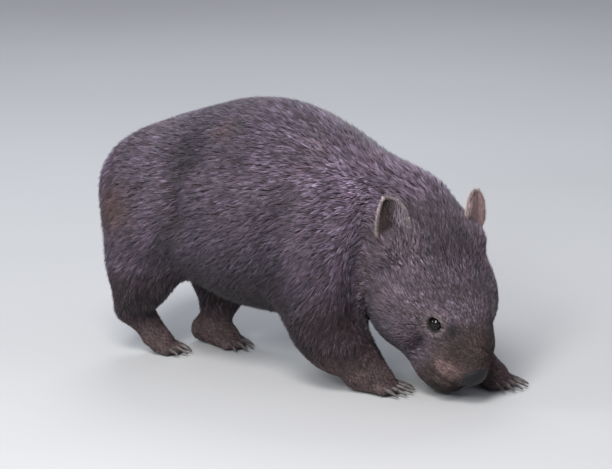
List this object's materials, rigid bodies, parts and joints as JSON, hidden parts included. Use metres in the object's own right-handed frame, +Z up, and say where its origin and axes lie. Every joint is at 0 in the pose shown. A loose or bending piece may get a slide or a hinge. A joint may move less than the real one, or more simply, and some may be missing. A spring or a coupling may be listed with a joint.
{
  "type": "wombat",
  "caption": "Young bare-nosed wombat grazing with its head lowered and turned right, a still life-size museum model that stands on its own feet.",
  "frame": {"origin": "middle of the whole model's box, on the floor that its soles rest on", "axes": "+X forward from rump to chest, +Y to the animal's left, +Z up; the head is turned toward -Y"},
  "size_m": [0.4338, 0.1886, 0.2611],
  "materials": {
    "body_fur": "dark grey-brown coat with silvery tips",
    "face_fur": "short dense grey-brown fur",
    "foot_fur": "short brown fur over pinkish skin",
    "ear_skin": "thinly furred skin",
    "nose_skin": "bare, finely pebbled, slightly moist",
    "eye": "dark, wet and glossy",
    "claw": "worn grey horn"
  },
  "bodies": {
    "root": {"trunk": "body_fur", "neck": "body_fur", "head": "face_fur", "tail": "body_fur", "leg_front_right": "body_fur", "leg_front_left": "body_fur", "leg_hind_right": "body_fur", "leg_hind_left": "body_fur", "foot_hind_right": "foot_fur", "foot_hind_left": "foot_fur", "paw_front_right": "foot_fur", "paw_front_left": "foot_fur", "ear_right": "ear_skin", "ear_left": "ear_skin", "eye_right": "eye", "eye_left": "eye", "nose": "nose_skin", "claw_hind_right_1": "claw", "claw_hind_right_2": "claw", "claw_hind_right_3": "claw", "claw_hind_right_4": "claw", "claw_hind_left_1": "claw", "claw_hind_left_2": "claw", "claw_hind_left_3": "claw", "claw_hind_left_4": "claw", "claw_front_right_1": "claw", "claw_front_right_2": "claw", "claw_front_right_3": "claw", "claw_front_right_4": "claw", "claw_front_right_5": "claw", "claw_front_left_1": "claw", "claw_front_left_2": "claw", "claw_front_left_3": "claw", "claw_front_left_4": "claw", "claw_front_left_5": "claw"}
  },
  "joints": []
}
